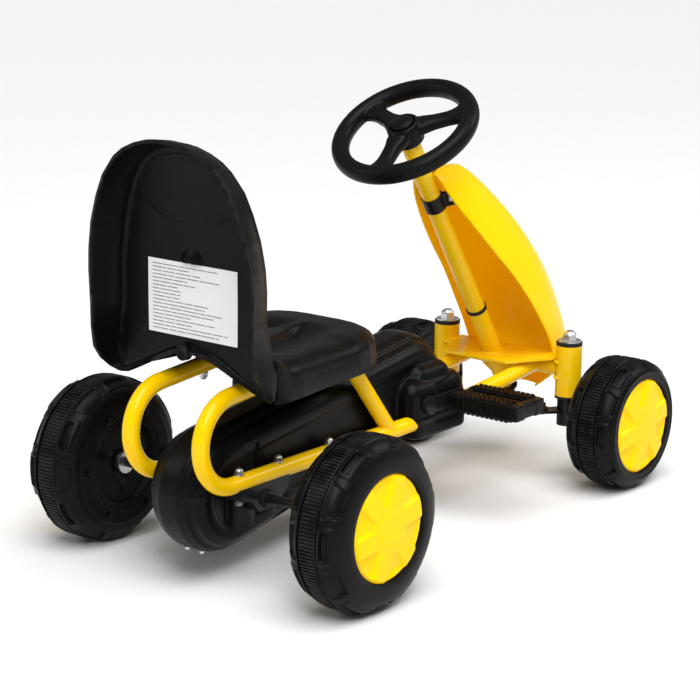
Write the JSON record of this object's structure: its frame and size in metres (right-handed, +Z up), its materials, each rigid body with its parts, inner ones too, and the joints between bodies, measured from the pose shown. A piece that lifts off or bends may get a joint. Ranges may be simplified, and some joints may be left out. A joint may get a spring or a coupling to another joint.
{
  "type": "pedal go kart",
  "caption": "Toddler pedal go kart with a looped tube frame, enclosed chain drive, moulded seat, hooded steering column and moulded wheels.",
  "frame": {"origin": "on the floor, at the middle of the bounding box", "axes": "the kart faces -Y, +X is the driver's left, +Z is up"},
  "size_m": [0.522, 0.8601, 0.588],
  "materials": {
    "yellow_steel": "glossy bright yellow powder coat",
    "black_steel": "satin black coat",
    "zinc_steel": "bright zinc plate, lightly scuffed",
    "chain_steel": "oiled dark steel",
    "black_shell": "fine grained black moulding",
    "seat_plastic": "satin black moulding",
    "wheel_plastic": "tough black moulding, scuffed on the tread",
    "yellow_plastic": "glossy yellow moulding",
    "bush_plastic": "plain black nylon",
    "label_film": "pale self-adhesive film"
  },
  "bodies": {
    "frame": {"side_rail_left": "yellow_steel", "side_rail_right": "yellow_steel", "front_crossmember": "yellow_steel", "gusset_plate": "yellow_steel", "kingpin_tube_left": "yellow_steel", "kingpin_tube_right": "yellow_steel", "steering_head_tube": "yellow_steel", "steering_bushes": "black_shell", "kingpin_bushes": "black_shell", "axle_block_left": "black_steel", "axle_block_right": "black_steel", "axle_bushes": "bush_plastic", "rail_bolts": "zinc_steel", "casing_upper": "black_shell", "casing_lower": "black_shell", "casing_screws": "zinc_steel", "crank_bushes": "black_shell", "chain": "chain_steel", "seat_shell": "seat_plastic", "seat_bolts": "zinc_steel", "seat_label": "label_film", "fairing": "yellow_plastic", "fairing_screws": "zinc_steel", "column_clamp": "black_steel", "clamp_screw": "zinc_steel"},
    "steering": {"steering_shaft": "yellow_steel", "pitman_arm": "black_steel", "steering_wheel": "black_shell", "steering_wheel_button": "black_shell", "steering_wheel_bolt": "zinc_steel", "tie_rod_bolt": "zinc_steel"},
    "tie_rod_left": {"tie_rod_left": "black_steel"},
    "knuckle_left": {"knuckle_left": "black_steel", "kingpin_nut_left": "zinc_steel", "stub_nut_left": "zinc_steel"},
    "front_wheel_left": {"front_tyre_left": "wheel_plastic", "front_disc_left": "wheel_plastic", "front_cap_left": "yellow_plastic"},
    "tie_rod_right": {"tie_rod_right": "black_steel"},
    "knuckle_right": {"knuckle_right": "black_steel", "kingpin_nut_right": "zinc_steel", "stub_nut_right": "zinc_steel"},
    "front_wheel_right": {"front_tyre_right": "wheel_plastic", "front_disc_right": "wheel_plastic", "front_cap_right": "yellow_plastic"},
    "rear_axle": {"rear_axle": "black_steel", "rear_sprocket": "zinc_steel", "rear_axle_nuts": "zinc_steel", "rear_tyre_right": "wheel_plastic", "rear_disc_right": "wheel_plastic", "rear_cap_right": "yellow_plastic"},
    "rear_wheel_left": {"rear_tyre_left": "wheel_plastic", "rear_disc_left": "wheel_plastic", "rear_cap_left": "yellow_plastic"},
    "crank": {"crankshaft": "black_steel", "chainwheel": "zinc_steel", "pedal_nuts": "zinc_steel"},
    "pedal_left": {"pedal_left": "black_shell"},
    "pedal_right": {"pedal_right": "black_shell"}
  },
  "joints": [
    {"name": "steering_turn", "type": "hinge", "parent": "frame", "child": "steering", "pos_m": [0, -0.285, 0.176], "axis": [0, 0.5446, 0.8387], "range_deg": [-20, 20]},
    {"name": "tie_rod_left_swing", "type": "hinge", "parent": "steering", "child": "tie_rod_left", "pos_m": [0, -0.289, 0.104], "axis": [0, 0.4192, 0.9079], "range_deg": [-26, 26]},
    {"name": "knuckle_left_turn", "type": "hinge", "parent": "frame", "child": "knuckle_left", "pos_m": [0.108, -0.318, 0.161], "axis": [0, 0, 1], "range_deg": [-23, 23]},
    {"name": "front_wheel_left_spin", "type": "hinge", "parent": "knuckle_left", "child": "front_wheel_left", "pos_m": [0.19, -0.336, 0.094], "axis": [1, 0, 0], "continuous": true},
    {"name": "tie_rod_right_swing", "type": "hinge", "parent": "steering", "child": "tie_rod_right", "pos_m": [0, -0.289, 0.104], "axis": [0, 0.4192, 0.9079], "range_deg": [-26, 26]},
    {"name": "knuckle_right_turn", "type": "hinge", "parent": "frame", "child": "knuckle_right", "pos_m": [-0.108, -0.318, 0.161], "axis": [0, 0, 1], "range_deg": [-23, 23]},
    {"name": "front_wheel_right_spin", "type": "hinge", "parent": "knuckle_right", "child": "front_wheel_right", "pos_m": [-0.19, -0.336, 0.094], "axis": [1, 0, 0], "continuous": true},
    {"name": "crank_spin", "type": "hinge", "parent": "frame", "child": "crank", "pos_m": [0, -0.025, 0.163], "axis": [1, 0, 0], "continuous": true},
    {"name": "rear_axle_spin", "type": "hinge", "parent": "frame", "child": "rear_axle", "pos_m": [0, 0.305, 0.11], "axis": [1, 0, 0], "continuous": true},
    {"name": "rear_wheel_left_spin", "type": "hinge", "parent": "rear_axle", "child": "rear_wheel_left", "pos_m": [0.217, 0.305, 0.11], "axis": [1, 0, 0], "continuous": true},
    {"name": "pedal_left_spin", "type": "hinge", "parent": "crank", "child": "pedal_left", "pos_m": [0.138, 0.04, 0.163], "axis": [1, 0, 0], "continuous": true},
    {"name": "pedal_right_spin", "type": "hinge", "parent": "crank", "child": "pedal_right", "pos_m": [-0.138, -0.09, 0.163], "axis": [1, 0, 0], "continuous": true}
  ],
  "couplings": [
    {"joint": "knuckle_left_turn", "follows": "steering_turn", "ratio": 1.1425},
    {"joint": "knuckle_right_turn", "follows": "steering_turn", "ratio": 1.1425},
    {"joint": "tie_rod_left_swing", "follows": "steering_turn", "ratio": -1.2895},
    {"joint": "tie_rod_right_swing", "follows": "steering_turn", "ratio": -1.2895},
    {"joint": "rear_axle_spin", "follows": "crank_spin", "ratio": 1.5}
  ]
}
